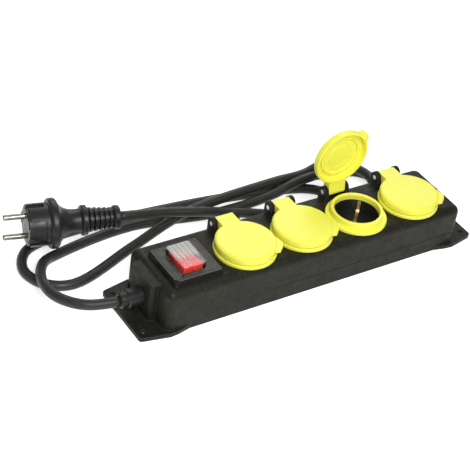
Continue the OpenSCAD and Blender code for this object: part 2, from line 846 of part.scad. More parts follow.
module live_wire() {
    x = switch_x;
    y = switch_y + blade_y[0];
    color([0.42, 0.25, 0.14])
        wire_run([[sheath_end + wire_gap, -core_ring * 0.87, outlet_h - core_ring / 2],
                  [sheath_end + 3.5, -3.6, outlet_h - 3], [x - 4, y + 1, 8.4],
                  [x, y, 8.4], [x, y, blade_foot]], core_d, [1, 0, 0], [0, 0, 1]);
}

module switched_wire() {
    x = switch_x;
    y = switch_y + blade_y[1];
    rail_y = -socket_front + pin_off;
    color([0.12, 0.12, 0.12])
        wire_run([[x, y, blade_foot], [x, y, 9], [x + 8, y, 9],
                  [rail_start - 6, rail_y, rail_z + 0.4], [rail_start, rail_y, rail_z + 0.4]],
                 core_d, [0, 0, -1], [1, 0, 0]);
}

module neutral_wire() {
    rail_y = -socket_front - pin_off;
    color([0.12, 0.3, 0.6])
        wire_run([[sheath_end + wire_gap, 0, outlet_h + core_ring], [sheath_end + 3.5, -3.6, outlet_h + 0.2],
                  [sheath_end + 9, -14, 12], [switch_x + 6, -19.5, 8], [rail_start - 8, rail_y, rail_z + 0.4],
                  [rail_start, rail_y, rail_z + 0.4]], core_d, [1, 0, 0], [1, 0, 0]);
}

module lamp_wire() {
    x = switch_x;
    y = switch_y + blade_y[2];
    rail_y = -socket_front - pin_off;
    color([0.12, 0.3, 0.6])
        wire_run([[x, y, blade_foot], [x, y, 5], [x + 8, y, 4.2], [rail_start - 8, y, 4.2],
                  [rail_start - 2, rail_y + 6, 4.2], [rail_start + 1.4, rail_y, 5],
                  [rail_start + 1.4, rail_y, rail_z]], core_d, [0, 0, -1], [0, 0, 1]);
}

module earth_wire() {
    color([0.5, 0.65, 0.15])
        wire_run([[sheath_end + wire_gap, core_ring * 0.87, outlet_h - core_ring / 2],
                  [sheath_end + 3.5, 3.8, outlet_h - 3], [switch_x + 2, 14, 10], [rail_start - 14, 13, 9],
                  [rail_start - 5, -socket_front, earth_rail_z + 0.4],
                  [rail_start, -socket_front, earth_rail_z + 0.4]], core_d, [1, 0, 0], [1, 0, 0]);
}

// ---------- Plug ----------

module at_plug() {
    translate(plug_pos) rotate([0, 0, plug_az]) rotate([plug_roll, 0, 0]) children();
}

// Solid of revolution about the plug's axis; the outline's second number runs out along the pins
module plug_turned() {
    rotate([0, 90, 0]) rotate_extrude() children();
}

// Hollow of the neck, an arc between two radii
function neck_point(t) = [9.9 + 6.6 * pow(1 - t, 3) + 0.6 * t * t, -flange_to - 1.5 - 17.6 * t];

module plug_body() {
    r = plug_d / 2;
    fr = plug_flange_d / 2;
    soft = 3;
    rib_r = function (s) 10.7 - (s - 54) * 0.087;
    color(rubber) at_plug() difference() {
        union() {
            plug_turned() {
                polygon(concat(
                    [[0, -plug_tail], [0, -0.6], [r - 1.6, -0.6], [r - 0.5, -1.1], [r, -2.2],
                     [r, -flange_from], [fr - soft, -flange_from], [fr - soft, -flange_to],
                     [17.2, -flange_to - 1]],
                    [for (t = [0:0.125:1]) neck_point(t)],
                    [[12.6, -47.4], [13.2, -48.4], [13.2, -51.4], [12.4, -52.4], [6.3, -52.4],
                     [6.3, -plug_tail]]
                ));
                for (s = [-flange_from - soft, -flange_to + soft])
                    translate([fr - soft, s]) circle(soft);
                square_at(0, -flange_to + soft, fr, -flange_from - soft);
                for (s = [55.4, 59.8, 64.2, 68.6, 73])
                    square_at(0, -s - 1.1, rib_r(s), -s + 1.1);
                polygon([[0, -plug_tail], [9.6, -plug_tail], [10.4, -plug_tail + 1], [10.4, -76.6],
                         [9.6, -75.6], [0, -75.6]]);
            }
            // Bars that join the ribs
            for (a = [0, 180])
                rotate([a, 0, 0])
                    translate([-77, -2.2, 5]) cube([27, 4.4, 3.6]);
        }
        // Wide shallow recess on both earth sides
        for (a = [0, 180])
            rotate([a, 0, 0]) intersection() {
                translate([-15, 0, -11.4]) cube([20, 30, 22.8]);
                difference() {
                    plug_turned() square_at(0, -15, 30, 5);
                    plug_turned() square_at(0, -16, r - plug_recess, 6);
                }
            }
        // Grooves for the guide ribs, in line with the pins
        for (a = [0, 180])
            rotate([a, 0, 0])
                translate([-15, -3, r - 2.2]) cube([20, 6, 5]);
        // Seat of the insert
        plug_turned() square_at(0, -8, plug_insert_d / 2, 5);
        // Seats of the earth strips
        for (a = [0, 180])
            rotate([a, 0, 0])
                translate([-4, plug_insert_d / 2 - 1, -5]) cube([10, 1.9, 10]);
    }
}

module plug_insert() {
    color(dark_plastic) at_plug() difference() {
        plug_turned() square_at(0, -7.95, plug_insert_d / 2 - 0.05, 0);
        for (a = [0, 180])
            rotate([a, 0, 0]) {
                x_rod(-9, 1, 4.1, 0, plug_pin_gap / 2);
                translate([-5, plug_insert_d / 2 - 1, -10]) cube([10, 5, 20]);
            }
    }
}

module plug_pins() {
    tip = 1.2;
    r = plug_pin_d / 2;
    color(steel) at_plug()
        for (s = [-1, 1])
            translate([0, 0, s * plug_pin_gap / 2]) {
                x_rod(-7.9, 0.1, 4, 0, 0);
                plug_turned() {
                    square_at(0, 0.05, r, plug_pin_len - tip);
                    square_at(0, 0.05, r - tip, plug_pin_len);
                    translate([r - tip, plug_pin_len - tip]) circle(tip);
                }
            }
}

module plug_earth_strips() {
    color(steel) at_plug()
        for (a = [0, 180])
            rotate([a, 0, 0])
                translate([-4, plug_insert_d / 2 - 0.9, -4.9]) cube([4.4, 1.7, 9.8]);
}

// ---------- Free cord ----------

route = [for (i = [0:len(cord_route) - 1])
    i == 0 ? [bushing_end, 0, outlet_h]
    : i == len(cord_route) - 1 ? plug_pos - plug_tail * plug_dir : cord_route[i]];

// Smooth curve through the points, with tangents weighted by the square root of each span
function before_point(p, i) = i == 0 ? p[0] + [20, 0, 0] : p[i - 1];
function after_point(p, i) = i == len(p) - 1 ? p[i] + 20 * plug_dir : p[i + 1];
function curve_point(p, i, t) =
    let (a = before_point(p, i), b = p[i], c = p[i + 1], d = after_point(p, i + 1),
         t1 = sqrt(norm(b - a)), t2 = sqrt(norm(c - b)), t3 = sqrt(norm(d - c)),
         m1 = t2 * ((b - a) / t1 - (c - a) / (t1 + t2) + (c - b) / t2),
         m2 = t2 * ((c - b) / t2 - (d - b) / (t2 + t3) + (d - c) / t3))
    (2 * t * t * t - 3 * t * t + 1) * b + (t * t * t - 2 * t * t + t) * m1
    + (3 * t * t - 2 * t * t * t) * c + (t * t * t - t * t) * m2;

centres = concat(
    [for (i = [0:len(route) - 2], t = [0, 0.5]) curve_point(route, i, t)],
    [route[len(route) - 1]]
);

module cord() {
    color(rubber) tube(centres, cord_d, ring_sides, [-1, 0, 0], plug_dir);
}

base_tray();
top_cover();
seam_gasket();
cover_screws();
cord_bushing();
cord_sheath_end();
cord_clamp();
clamp_screws();
switch_bezel();
switch_housing();
switch_terminals();
switch_rocker();
switch_boot();
socket_collar(0);  // socket_collar_1
socket_collar(1);  // socket_collar_2
socket_collar(2);  // socket_collar_3
socket_collar(3);  // socket_collar_4
socket_insert(0);  // socket_insert_1
socket_insert(1);  // socket_insert_2
socket_insert(2);  // socket_insert_3
socket_insert(3);  // socket_insert_4
earth_clip(0);  // earth_clip_1
earth_clip(1);  // earth_clip_2
earth_clip(2);  // earth_clip_3
earth_clip(3);  // earth_clip_4
lid(0, 0);  // lid_1
lid(1, 0);  // lid_2
lid(2, open_angle);  // lid_3
lid(3, 0);  // lid_4
hinge_pin(0);  // hinge_pin_1
hinge_pin(1);  // hinge_pin_2
hinge_pin(2);  // hinge_pin_3
hinge_pin(3);  // hinge_pin_4
live_rail();
neutral_rail();
earth_rail();
live_wire();
switched_wire();
neutral_wire();
lamp_wire();
earth_wire();
plug_body();
plug_insert();
plug_pins();
plug_earth_strips();
cord();
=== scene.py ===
"""Looks of a switched outdoor socket strip: its cord, its surfaces, the studio and the camera.

Lengths are in metres, in the CAD model's frame: +X along the strip, +Y towards the lids' hinges, +Z up.
"""

import json
import math

import bmesh
import bpy
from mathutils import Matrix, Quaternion, Vector


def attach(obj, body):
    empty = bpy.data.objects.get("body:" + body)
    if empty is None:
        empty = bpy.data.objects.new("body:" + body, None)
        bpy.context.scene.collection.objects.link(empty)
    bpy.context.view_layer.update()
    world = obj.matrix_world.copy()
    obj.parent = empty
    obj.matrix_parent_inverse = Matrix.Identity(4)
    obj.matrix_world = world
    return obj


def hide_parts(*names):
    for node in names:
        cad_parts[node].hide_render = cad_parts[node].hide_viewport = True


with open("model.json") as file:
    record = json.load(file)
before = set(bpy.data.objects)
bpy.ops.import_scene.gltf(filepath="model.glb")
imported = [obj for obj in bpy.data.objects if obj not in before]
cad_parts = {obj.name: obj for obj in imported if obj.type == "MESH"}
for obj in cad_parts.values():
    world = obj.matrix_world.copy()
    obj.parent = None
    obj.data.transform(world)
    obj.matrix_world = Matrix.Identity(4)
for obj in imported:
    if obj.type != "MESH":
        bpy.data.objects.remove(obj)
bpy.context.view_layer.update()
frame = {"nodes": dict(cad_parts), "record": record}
BODY = "strip"
SOCKETS = range(1, 5)


def add_object(name, data):
    made = bpy.data.objects.new(name, data)
    bpy.context.scene.collection.objects.link(made)
    return made


def aim(thing, direction):
    """Points a camera or a lamp along a direction, with its top up."""
    thing.rotation_mode = "QUATERNION"
    thing.rotation_quaternion = Vector(direction).to_track_quat("-Z", "Y")


# ---------- Camera ----------

CAMERA_PLACE = (-0.66538, -0.77656, 0.80328)
CAMERA_AIM = (0.48347, 0.63010, -0.60764)
CAMERA_ROLL = math.radians(8.81)
CAMERA_RANGE = (0.05, 20)
SENSOR = 36.0
LENS = 113.96


def make_camera():
    """The photograph's view: a long lens from above the cord end, turned a little about its own axis."""
    data = bpy.data.cameras.new("camera")
    data.sensor_width = SENSOR
    data.lens = LENS
    data.clip_start, data.clip_end = CAMERA_RANGE
    camera = add_object("camera", data)
    camera.location = CAMERA_PLACE
    aim(camera, CAMERA_AIM)
    camera.rotation_quaternion = camera.rotation_quaternion @ Quaternion((0, 0, 1), CAMERA_ROLL)
    bpy.context.scene.camera = camera


# ---------- Cord ----------

CORD_D = 0.009
CORD_SIDES = 24
# How far beyond the cord's ends the two extra points lie that give the curve its first and last heading
LEAD = 0.02
# Stretches of the finished line between two points of the route
STEPS = 8
OUTLET = (-0.176, 0.0, 0.0192)
OUTLET_AIM = Vector((-1, 0, 0))
PLUG_PLACE = Vector((-0.2084, 0.1063, 0.0302))
PLUG_TURN = math.radians(166)
PLUG_AIM = Vector((math.cos(PLUG_TURN), math.sin(PLUG_TURN), 0))
# From the plug's face back to where the cord enters it
PLUG_TAIL = 0.081
# Height of the cord's middle where it lies on the floor
LIE = 0.0047
# The route of part.scad, in metres
ROUTE = [
    OUTLET, (-0.203, 0.008, 0.0188), (-0.218, 0.028, 0.017), (-0.219, 0.051, 0.0154),
    (-0.206, 0.076, 0.0114), (-0.184, 0.0885, 0.0061), (-0.11, 0.099, LIE), (-0.028, 0.085, 0.0055),
    (0.028, 0.084, 0.009), (0.056, 0.086, 0.014), (0.079, 0.0885, 0.014), (0.103, 0.094, 0.0056),
    (0.13, 0.088, LIE), (0.141, 0.068, LIE), (0.134, 0.049, LIE), (0.115, 0.0415, LIE), (0.098, 0.048, LIE),
    (0.088, 0.065, LIE), (0.072, 0.083, LIE), (0.022, 0.097, LIE), (-0.081, 0.11, LIE), (-0.178, 0.112, LIE),
    (-0.209, 0.103, LIE), (-0.221, 0.081, LIE), (-0.213, 0.059, LIE), (-0.191, 0.049, LIE),
    (-0.122, 0.072, 0.0058), (-0.062, 0.087, 0.0136), (0.038, 0.095, 0.0142), (0.074, 0.099, 0.0104),
    (0.1, 0.0995, 0.015), (0.12, 0.088, 0.0146), (0.128, 0.068, 0.014), (0.12, 0.051, 0.014),
    (0.098, 0.043, 0.0138), (0.05, 0.051, 0.0052), (-0.016, 0.075, 0.009), (-0.052, 0.078, 0.0186),
    (-0.084, 0.084, 0.023), tuple(PLUG_PLACE - PLUG_TAIL * PLUG_AIM),
]


def smooth_line(points):
    """A curve through the points, whose tangents are weighted by the square root of each span."""
    knots = [Vector(point) for point in points]
    knots = [knots[0] - LEAD * OUTLET_AIM, *knots, knots[-1] + LEAD * PLUG_AIM]
    line = []
    for a, b, c, d in zip(knots, knots[1:], knots[2:], knots[3:]):
        t1, t2, t3 = ((end - start).length ** 0.5 for start, end in ((a, b), (b, c), (c, d)))
        leaving = t2 * ((b - a) / t1 - (c - a) / (t1 + t2) + (c - b) / t2)
        arriving = t2 * ((c - b) / t2 - (d - b) / (t2 + t3) + (d - c) / t3)
        for k in range(STEPS):
            t = k / STEPS
            line.append((2 * t**3 - 3 * t**2 + 1) * b + (t**3 - 2 * t**2 + t) * leaving
                        + (3 * t**2 - 2 * t**3) * c + (t**3 - t**2) * arriving)
    return line + [knots[-2]]


def tube(name, line, radius, sides, first, last):
    """A closed tube along the line, with its first and last headings given.

    Its UV map runs round it from 0 to 1, and along it by 1 for each diameter.
    """
    mesh = bmesh.new()
    uv = mesh.loops.layers.uv.new("along")
    headings = [first, *((after - before).normalized() for before, after in zip(line, line[2:])), last]
    turns = [2 * math.pi * k / sides for k in range(sides)]
    # Any direction that the line never takes, carried along it so that the tube doesn't twist
    side = Vector((0.3, 1, 0.2))
    rings = []
    for point, heading in zip(line, headings):
        side = (side - heading * side.dot(heading)).normalized()
        up = heading.cross(side)
        rim = [point + radius * (math.cos(turn) * side + math.sin(turn) * up) for turn in turns]
        rings.append([mesh.verts.new(place) for place in rim])
    run = [0.0]
    for start, end in zip(line, line[1:]):
        run.append(run[-1] + (end - start).length)
    for i, (ring, following) in enumerate(zip(rings, rings[1:])):
        for k in range(sides):
            j = (k + 1) % sides
            face = mesh.faces.new((ring[k], ring[j], following[j], following[k]))
            face.smooth = True
            corners = ((k, i), (k + 1, i), (k + 1, i + 1), (k, i + 1))
            for loop, (step, ring_number) in zip(face.loops, corners):
                loop[uv].uv = (step / sides, run[ring_number] / (2 * radius))
    mesh.faces.new(reversed(rings[0]))
    mesh.faces.new(rings[-1])
    data = bpy.data.meshes.new(name)
    mesh.to_mesh(data)
    mesh.free()
    return add_object(name, data)


def make_cord():
    """The free cord from the strain relief to the plug, in place of its plain CAD tube."""
    line = smooth_line(ROUTE)
    cord = tube("free_cord", line, CORD_D / 2, CORD_SIDES, OUTLET_AIM, PLUG_AIM)
    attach(cord, BODY)
    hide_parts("cord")
    return cord


# ---------- Surfaces ----------

WHITE = (1, 1, 1, 1)
EVEN = (1, 1, 1)
# Samples of each node that eases edges
EDGE_SAMPLES = 6
# Dot product of the eased and the true normal below which an edge is worn
EDGE_START = 0.99
# How far from its middle a thin line starts to fade and has gone, as shares of its width
LINE_FADE = (0.4, 0.6)
# Noise lies mostly between these values
NOISE_SPAN = (0.3, 0.7)
# Scale of the wave texture at which one wave is one metre long
ONE_WAVE = 2 * math.pi / 20

# In what follows, a pair of numbers says where a change of the surface starts and where it is complete.

# The casing is paler at the cord's end, as painted light. Painted shade darkens its seam: it fades out with
# the distance from the seam's middle, and gets stronger along X.
PAINTED_LIGHT_X = (-0.12, 0.16)
SEAM_Z = 0.0148
SEAM_SHADE = (0.0003, 0.0008)
SEAM_SHADE_X = (-0.09, 0.0)

# A fine groove in painted shade runs round the bezel's top: its middle, half its size, and its own width
BEZEL_MIDDLE = (-0.1181, -0.0038)
BEZEL_LINE = (0.0195, 0.0198)
BEZEL_LINE_WIDTH = 0.0006

# Painted shade darkens the rocker low down: it goes from deep to its own colour
ROCKER_SHADE_Z = (0.038, 0.048)

# The clear boot's ribs run along Y, and carry its frost further to the front than the grooves do. Painted
# shade greys its grooves, and darkens its walls towards the back, up to where its top starts.
BOOT_RIB_PITCH = 0.004
BOOT_RIB_REACH = 0.004
BOOT_CROSS_PITCH = 0.0022
BOOT_FROST_Y = (-0.008, -0.001)
BOOT_SHADE_Y = (-0.01, 0.008)
BOOT_TOP_Z = (0.0505, 0.0515)

# Lines drawn out along the cord: narrow across its UV map and long along it
CORD_LINES = (14, 0.35, 1)


def grey(level):
    return (level, level, level)


def scaled(colour, factor, lift=0.0):
    """The colour made darker or paler, up to full white."""
    return tuple(min(1.0, factor * channel + lift) for channel in colour)


class Surface:
    """One procedural material, built up from small steps on its node tree.

    A mask is what the nodes work out from 0 to 1 over the surface. Scales are features per metre, and depths
    and radii are in metres.
    """

    def __init__(self, name, colour, **settings):
        self.material = bpy.data.materials.new(name)
        self.material.use_nodes = True
        self.nodes = self.material.node_tree.nodes
        self.links = self.material.node_tree.links
        self.shader = self.nodes["Principled BSDF"]
        self.colour = colour
        self.shader.inputs["Base Color"].default_value = (*colour, 1)
        for socket, value in settings.items():
            self.shader.inputs[socket.replace("_", " ")].default_value = value
        self.normal = None
        self.coordinates = self.add("ShaderNodeTexCoord").outputs["Object"]

    def add(self, kind, **values):
        node = self.nodes.new(kind)
        for name, value in values.items():
            setattr(node, name, value)
        return node

    def link(self, source, target):
        self.links.new(source, target)

    # Values over the surface

    def noise(self, scale, detail, stretch=EVEN, coordinates=None):
        """Noise. Stretch multiplies the number of its features along each axis."""
        mapping = self.add("ShaderNodeMapping")
        mapping.inputs["Scale"].default_value = stretch
        self.link(coordinates or self.coordinates, mapping.inputs["Vector"])
        node = self.add("ShaderNodeTexNoise")
        node.inputs["Scale"].default_value = scale
        node.inputs["Detail"].default_value = detail
        self.link(mapping.outputs["Vector"], node.inputs["Vector"])
        return node.outputs["Fac"]

    def cells(self, scale):
        """Distance to the nearest cell centre."""
        node = self.add("ShaderNodeTexVoronoi")
        node.inputs["Scale"].default_value = scale
        self.link(self.coordinates, node.inputs["Vector"])
        return node.outputs["Distance"]

    def along(self, axis):
        """Place along one of the object's own axes, in metres."""
        node = self.add("ShaderNodeSeparateXYZ")
        self.link(self.coordinates, node.inputs["Vector"])
        return node.outputs[axis]

    def bands(self, axis, pitch):
        """Smooth wave with a crest every `pitch` metres along an axis."""
        node = self.add("ShaderNodeTexWave", wave_type="BANDS", bands_direction=axis)
        node.inputs["Scale"].default_value = ONE_WAVE / pitch
        self.link(self.coordinates, node.inputs["Vector"])
        return node.outputs["Fac"]

    def grazing(self):
        """From 0 where the surface faces the eye to 1 at its outline."""
        return self.add("ShaderNodeLayerWeight").outputs["Facing"]

    def facing_up(self):
        """From 0 on upright walls to 1 on level faces."""
        node = self.add("ShaderNodeSeparateXYZ")
        self.link(self.add("ShaderNodeTexCoord").outputs["Normal"], node.inputs["Vector"])
        return node.outputs["Z"]

    def seen(self):
        """1 for what the camera sees directly, mirrored or through glass, and 0 for other light."""
        path = self.add("ShaderNodeLightPath").outputs
        mirrored = self.combine("ADD", path["Is Camera Ray"], path["Is Glossy Ray"])
        return self.combine("ADD", mirrored, path["Is Transmission Ray"], use_clamp=True)

    # Sums and masks

    def combine(self, operation, one, other, **values):
        """Sum, product and the like of a value and another value or a number."""
        node = self.add("ShaderNodeMath", operation=operation, **values)
        self.link(one, node.inputs[0])
        if isinstance(other, float):
            node.inputs[1].default_value = other
        else:
            self.link(other, node.inputs[1])
        return node.outputs["Value"]

    def times(self, one, other):
        """What two masks have in common, or a mask made fainter."""
        return self.combine("MULTIPLY", one, other)

    def ramp(self, value, low, high, to_low=0.0, to_high=1.0):
        """Maps value from low..high to to_low..to_high, held at both ends."""
        node = self.add("ShaderNodeMapRange")
        limits = {"From Min": low, "From Max": high, "To Min": to_low, "To Max": to_high}
        for name, number in limits.items():
            node.inputs[name].default_value = number
        self.link(value, node.inputs["Value"])
        return node.outputs["Result"]

    def rest(self, mask):
        """What is missing from a mask to 1."""
        return self.ramp(mask, 0.0, 1.0, to_low=1.0, to_high=0.0)

    def off(self, axis, place):
        """Distance from a place along one of the object's own axes, in metres."""
        return self.combine("ABSOLUTE", self.combine("SUBTRACT", self.along(axis), place), 0.0)

    def outline(self, middle, half, width):
        """1 along the sides of an upright rectangle in plan, 0 elsewhere."""
        past = [self.combine("SUBTRACT", self.off(a, m), h) for a, m, h in zip("XY", middle, half)]
        away = self.combine("ABSOLUTE", self.combine("MAXIMUM", *past), 0.0)
        fading, gone = (share * width for share in LINE_FADE)
        return self.ramp(away, fading, gone, to_low=1.0, to_high=0.0)

    def edges(self, radius, full, amount):
        """Mask of the edges, complete where the dot product of eased and true normal has fallen to full."""
        bevel = self.add("ShaderNodeBevel", samples=EDGE_SAMPLES)
        bevel.inputs["Radius"].default_value = radius
        dot = self.add("ShaderNodeVectorMath", operation="DOT_PRODUCT")
        self.link(bevel.outputs["Normal"], dot.inputs[0])
        self.link(self.add("ShaderNodeNewGeometry").outputs["Normal"], dot.inputs[1])
        return self.ramp(dot.outputs["Value"], EDGE_START, full, to_high=amount)

    # Relief

    def round_edges(self, radius):
        """Softens the edges in the shading, as moulding does. It comes before any relief."""
        node = self.add("ShaderNodeBevel", samples=EDGE_SAMPLES)
        node.inputs["Radius"].default_value = radius
        self.normal = node.outputs["Normal"]

    def bump(self, height, depth, strength):
        """Raises the surface by height times depth."""
        node = self.add("ShaderNodeBump")
        node.inputs["Distance"].default_value = depth
        node.inputs["Strength"].default_value = strength
        self.link(height, node.inputs["Height"])
        if self.normal:
            self.link(self.normal, node.inputs["Normal"])
        self.normal = node.outputs["Normal"]

    def grain(self, scale, detail, depth, strength, **place):
        """Fine relief of noise."""
        self.bump(self.noise(scale, detail, **place), depth, strength)

    # Colour and shine

    def tint(self, mask, colour):
        """Mixes colour into the base colour by mask."""
        node = self.add("ShaderNodeMix", data_type="RGBA")
        base = self.shader.inputs["Base Color"]
        if base.is_linked:
            self.link(base.links[0].from_socket, node.inputs["A"])
        else:
            node.inputs["A"].default_value = (*self.colour, 1)
        node.inputs["B"].default_value = (*colour, 1)
        self.link(mask, node.inputs["Factor"])
        self.link(node.outputs["Result"], base)

    def mottle(self, colour, scale, detail, start, full, amount):
        """Mixes colour in where noise rises from start to full."""
        self.tint(self.ramp(self.noise(scale, detail), start, full, to_high=amount), colour)

    def wear_and_highlight(self, colour, radius, full, amount):
        """Mixes colour in along the edges: worn edges on some pieces, a painted highlight on others."""
        self.tint(self.edges(radius, full, amount), colour)

    def vary_rough(self, scale, detail, low, high, stretch=EVEN):
        """Roughness from low to high, by noise."""
        noise = self.noise(scale, detail, stretch)
        rough = self.ramp(noise, *NOISE_SPAN, to_low=low, to_high=high)
        self.link(rough, self.shader.inputs["Roughness"])

    def done(self):
        if self.normal:
            self.link(self.normal, self.shader.inputs["Normal"])
        return self.material


def body_black():
    """Spark-eroded black casing plastic: fine grain, a cloudy haze and paler worn edges, with painted shade
    in the seam and painted light towards the cord's end.
    """
    skin = Surface("body_black", (0.0085, 0.0085, 0.0062), Specular_IOR_Level=0.215,
                   Specular_Tint=(1, 0.99, 0.82, 1))
    skin.round_edges(radius=0.0006)
    skin.grain(2600, detail=2, depth=0.00006, strength=0.6)
    skin.bump(skin.cells(1400), depth=0.00004, strength=0.45)
    skin.grain(420, detail=3, depth=0.00014, strength=0.35)
    # Painted light: the casing is paler towards the cord's end.
    skin.tint(skin.ramp(skin.along("X"), *PAINTED_LIGHT_X, to_low=0.75, to_high=0.0), (0.0145, 0.0145, 0.0112))
    skin.mottle((0.0155, 0.0155, 0.012), 45, detail=5, start=0.35, full=0.75, amount=0.5)
    skin.mottle((0.025, 0.025, 0.0205), 330, detail=5, start=0.46, full=0.7, amount=0.8)
    skin.mottle((0.005, 0.005, 0.0045), 700, detail=2, start=0.52, full=0.72, amount=0.6)
    skin.wear_and_highlight((0.075, 0.075, 0.067), radius=0.0009, full=0.8, amount=0.6)
    # Painted shade in the seam, stronger along X.
    seam_shade_along_x = skin.ramp(skin.along("X"), *SEAM_SHADE_X, to_low=0.15, to_high=0.75)
    seam = skin.ramp(skin.off("Z", SEAM_Z), *SEAM_SHADE, to_low=1.0, to_high=0.0)
    skin.tint(skin.times(seam_shade_along_x, seam), grey(0.003))
    skin.vary_rough(110, detail=4, low=0.42, high=0.6)
    return skin.done()


def bezel_black():
    """Glossier black of the switch bezel, dull and in painted shade on its walls, with a fine line darkened
    by painted shade, painted highlights on its edges, and scratches.
    """
    skin = Surface("bezel_black", (0.0095, 0.0095, 0.0085), Specular_Tint=(1, 0.99, 0.85, 1))
    skin.round_edges(radius=0.0005)
    skin.grain(900, detail=3, depth=0.00003, strength=0.4)
    skin.grain(120, detail=2, depth=0.00015, strength=0.12)
    skin.grain(260, detail=4, depth=0.00002, strength=0.4, stretch=(1, 14, 1))
    skin.mottle((0.018, 0.018, 0.017), 90, detail=4, start=0.4, full=0.75, amount=0.5)
    # Painted shade: the upright walls are darker than the top.
    skin.tint(skin.ramp(skin.facing_up(), low=0.3, high=0.8, to_low=0.8, to_high=0.0), grey(0.004))
    line = skin.outline(BEZEL_MIDDLE, BEZEL_LINE, BEZEL_LINE_WIDTH)
    skin.bump(skin.rest(line), depth=0.0002, strength=0.6)
    # Painted shade in the groove.
    skin.tint(skin.times(line, 0.8), grey(0.003))
    # Painted highlight along the edges.
    skin.wear_and_highlight((0.3, 0.3, 0.29), radius=0.0006, full=0.85, amount=0.85)
    shine = skin.ramp(skin.facing_up(), low=0.2, high=0.9, to_low=0.06, to_high=0.31)
    skin.link(shine, skin.shader.inputs["Specular IOR Level"])
    skin.vary_rough(200, detail=4, low=0.22, high=0.36)
    return skin.done()


def inner_black():
    """Smooth black of the socket cups and other inner pieces."""
    skin = Surface("inner_black", (0.012, 0.012, 0.0125), Specular_IOR_Level=0.4)
    skin.round_edges(radius=0.0003)
    skin.grain(700, detail=3, depth=0.00003, strength=0.4)
    skin.mottle((0.026, 0.0255, 0.025), 150, detail=4, start=0.45, full=0.8, amount=0.4)
    skin.vary_rough(260, detail=3, low=0.3, high=0.5)
    return skin.done()


def rubber_black(name="rubber_black", drawn=False):
    """Dull moulded rubber, a little dusty, with fine grain. Where drawn, it has lines along its UV map."""
    skin = Surface(name, (0.021, 0.021, 0.018), Specular_IOR_Level=0.42)
    if drawn:
        uv = skin.add("ShaderNodeTexCoord").outputs["UV"]
        skin.grain(3, detail=2, depth=0.00008, strength=0.3, stretch=CORD_LINES, coordinates=uv)
    else:
        skin.round_edges(radius=0.0005)
    skin.grain(1800, detail=3, depth=0.00004, strength=0.5)
    skin.grain(150, detail=2, depth=0.0002, strength=0.2)
    skin.mottle((0.03, 0.0295, 0.027), 60, detail=5, start=0.4, full=0.75, amount=0.5)
    skin.mottle((0.042, 0.041, 0.038), 420, detail=4, start=0.56, full=0.75, amount=0.5)
    skin.vary_rough(160, detail=4, low=0.34, high=0.54)
    return skin.done()


def plug_black():
    """Smooth half-gloss black of the moulded plug, with flow marks and rubbed edges."""
    skin = Surface("plug_black", (0.0155, 0.0158, 0.0155), Specular_IOR_Level=0.38)
    skin.round_edges(radius=0.0005)
    skin.grain(1400, detail=3, depth=0.00003, strength=0.4)
    skin.grain(110, detail=3, depth=0.0002, strength=0.25)
    skin.mottle((0.024, 0.0243, 0.0245), 70, detail=4, start=0.4, full=0.75, amount=0.5)
    skin.mottle(grey(0.009), 500, detail=3, start=0.5, full=0.75, amount=0.5)
    skin.wear_and_highlight(grey(0.05), radius=0.0008, full=0.8, amount=0.35)
    skin.vary_rough(180, detail=4, low=0.28, high=0.46)
    return skin.done()


def lid_yellow():
    """Satin signal-yellow plastic with a soft glow at thin edges and painted highlights along its edges."""
    skin = Surface("lid_yellow", (0.985, 0.955, 0.108), Specular_IOR_Level=0.5, Subsurface_Weight=0.25,
                   Subsurface_Scale=0.003)
    skin.round_edges(radius=0.0005)
    skin.grain(1500, detail=2, depth=0.00002, strength=0.5)
    skin.grain(80, detail=3, depth=0.00012, strength=0.15)
    skin.mottle((0.975, 0.925, 0.075), 35, detail=4, start=0.35, full=0.75, amount=0.4)
    skin.mottle((0.88, 0.8, 0.07), 520, detail=3, start=0.62, full=0.8, amount=0.2)
    # Painted highlight: paler, whiter edges.
    skin.wear_and_highlight((0.98, 0.96, 0.3), radius=0.0007, full=0.8, amount=0.35)
    skin.vary_rough(240, detail=4, low=0.3, high=0.46)
    return skin.done()


def rocker_red():
    """Translucent red rocker with a faint painted glow, and painted shade low down."""
    # Painted light: the faint emitted glow stands in for light shining through the rocker.
    skin = Surface("rocker_red", (0.92, 0.05, 0.035), Coat_Weight=0.2, Emission_Color=(0.9, 0.05, 0.03, 1),
                   Emission_Strength=0.2)
    skin.round_edges(radius=0.0006)
    skin.grain(300, detail=3, depth=0.00004, strength=0.3)
    skin.mottle((0.9, 0.09, 0.05), 90, detail=3, start=0.4, full=0.8, amount=0.4)
    # Painted shade: darker low down.
    skin.tint(skin.ramp(skin.along("Z"), *ROCKER_SHADE_Z, to_low=0.75, to_high=0.0), (0.3, 0.01, 0.01))
    skin.vary_rough(200, detail=3, low=0.2, high=0.34)
    return skin.done()


